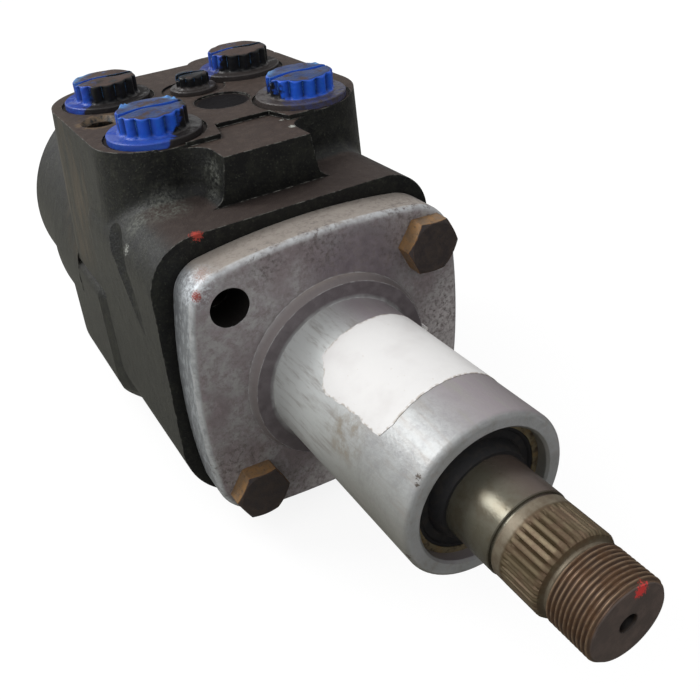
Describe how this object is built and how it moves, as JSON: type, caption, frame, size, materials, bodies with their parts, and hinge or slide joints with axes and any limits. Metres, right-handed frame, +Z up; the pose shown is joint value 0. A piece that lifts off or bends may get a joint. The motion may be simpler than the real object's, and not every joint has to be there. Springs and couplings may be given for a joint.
{
  "type": "orbital steering unit",
  "caption": "Hydraulic steering unit: cast housing with plugged ports, column with a serrated input shaft, rotary valve and gerotor metering set inside.",
  "frame": {"origin": "where the input shaft axis meets the front face of the column flange", "axes": "+Y rearward along the shaft axis, +Z up out of the port face, +X to the right seen from the shaft end"},
  "size_m": [0.0932, 0.2718, 0.1145],
  "materials": {
    "housing_paint": "black painted casting, satin",
    "cap_paint": "black painted, satin",
    "ring_steel": "ground, darkened by oil",
    "column_aluminium": "cast, dull and stained",
    "shaft_steel": "turned and ground",
    "bolt_steel": "rusty hex heads",
    "bearing_steel": "polished",
    "valve_steel": "ground",
    "spring_steel": "blue tempered",
    "seal_case_metal": "olive coated pressing",
    "seal_rubber": "matte",
    "o_ring_rubber": "matte",
    "plug_blue": "moulded, worn",
    "plug_dark": "moulded, oily"
  },
  "bodies": {
    "base": {"housing": "housing_paint", "column": "column_aluminium", "column_o_ring": "o_ring_rubber", "column_bolts": "bolt_steel", "column_seal_case": "seal_case_metal", "column_seal_lip": "seal_rubber", "bearing_spacer": "bearing_steel", "bearing_outer_race": "bearing_steel", "neck_bushing": "valve_steel", "neck_seal": "seal_rubber", "thrust_race_front": "bearing_steel", "wear_plate": "ring_steel", "gerotor_ring": "ring_steel", "end_cap": "cap_paint", "cap_screws": "bolt_steel", "cap_washers": "valve_steel", "housing_face_ring": "o_ring_rubber", "plate_face_ring": "o_ring_rubber", "cap_face_ring": "o_ring_rubber", "plug_front_left": "plug_blue", "plug_front_right": "plug_blue", "plug_back_left": "plug_dark", "plug_back_right": "plug_dark", "pilot_plug": "plug_dark", "check_seat": "valve_steel", "check_keeper": "valve_steel"},
    "sleeve": {"valve_sleeve": "valve_steel", "cross_pin": "bearing_steel", "centering_springs": "spring_steel", "thrust_race_rear": "bearing_steel"},
    "input": {"input_shaft": "shaft_steel", "valve_spool": "valve_steel", "shaft_snap_ring": "spring_steel", "bearing_inner_race": "bearing_steel"},
    "ball_cage": {"bearing_cage": "bearing_steel", "bearing_balls": "bearing_steel"},
    "needle_cage": {"thrust_needles": "bearing_steel"},
    "orbit_carrier": {"drive_spacer": "valve_steel"},
    "star": {"gerotor_star": "ring_steel"},
    "link": {"drive_link": "valve_steel"},
    "check": {"check_ball": "bearing_steel"}
  },
  "joints": [
    {"name": "follow_up", "type": "hinge", "parent": "base", "child": "sleeve", "pos_m": [0, 0.046, 0], "axis": [0, 1, 0], "continuous": true},
    {"name": "valve_deflection", "type": "hinge", "parent": "sleeve", "child": "input", "pos_m": [0, 0.046, 0], "axis": [0, 1, 0], "range_deg": [-8, 8], "stiffness_Nm_per_rad": 12},
    {"name": "ball_cage_roll", "type": "hinge", "parent": "base", "child": "ball_cage", "pos_m": [0, -0.046, 0], "axis": [0, 1, 0], "continuous": true},
    {"name": "needle_cage_roll", "type": "hinge", "parent": "base", "child": "needle_cage", "pos_m": [0, 0.0235, 0], "axis": [0, 1, 0], "continuous": true},
    {"name": "orbit", "type": "hinge", "parent": "base", "child": "orbit_carrier", "pos_m": [0, 0.1455, 0], "axis": [0, 1, 0], "continuous": true},
    {"name": "star_spin", "type": "hinge", "parent": "orbit_carrier", "child": "star", "pos_m": [0.003, 0.1455, 0], "axis": [0, 1, 0], "continuous": true},
    {"name": "link_spin", "type": "hinge", "parent": "orbit_carrier", "child": "link", "pos_m": [0, 0.046, 0], "axis": [0.0301, 0.9995, 0], "continuous": true},
    {"name": "check_lift", "type": "slide", "parent": "base", "child": "check", "axis": [0, 0, 1], "range_m": [0, 0.0015]}
  ],
  "couplings": [
    {"joint": "ball_cage_roll", "follows": "follow_up", "ratio": 0.4055},
    {"joint": "needle_cage_roll", "follows": "follow_up", "ratio": 0.5},
    {"joint": "orbit", "follows": "follow_up", "ratio": -6},
    {"joint": "star_spin", "follows": "follow_up", "ratio": 7},
    {"joint": "link_spin", "follows": "follow_up", "ratio": 7}
  ]
}
